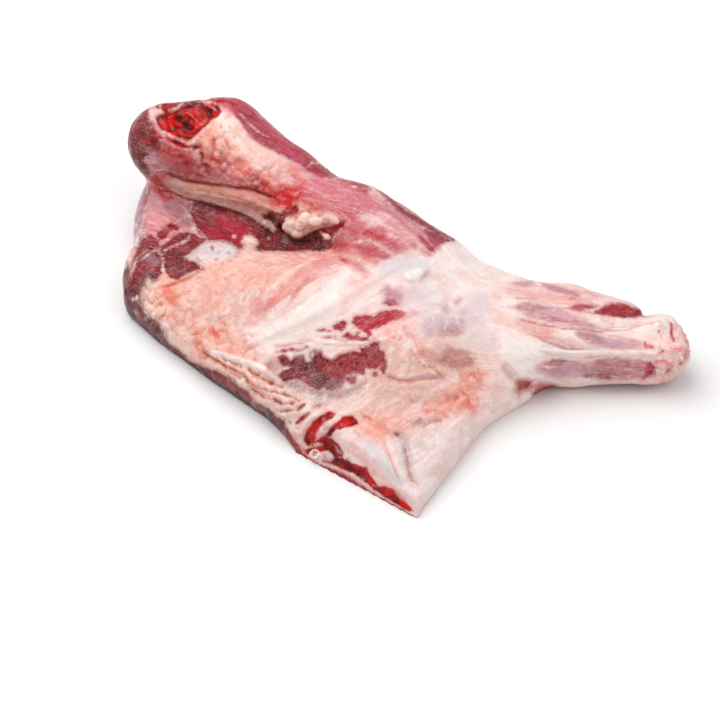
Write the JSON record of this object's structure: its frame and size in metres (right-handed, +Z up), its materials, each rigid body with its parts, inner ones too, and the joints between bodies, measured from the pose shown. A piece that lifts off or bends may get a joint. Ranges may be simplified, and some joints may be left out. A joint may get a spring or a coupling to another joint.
{
  "type": "goat forequarter",
  "caption": "Raw goat forequarter lying flat: shoulder with fat cap, folded neck end, cut brisket flap and shank with its knuckle.",
  "frame": {"origin": "middle of the overall box, on the flat underside that the meat rests on", "axes": "+X along the shank towards the knuckle, +Y towards the folded neck end, +Z up"},
  "size_m": [0.3621, 0.3191, 0.0895],
  "materials": {
    "raw_meat": "moist raw goat: dark red muscle, salmon fat cap, white crest and pearly membranes with a soft wet gloss"
  },
  "bodies": {
    "root": {"forequarter": "raw_meat"}
  },
  "joints": []
}
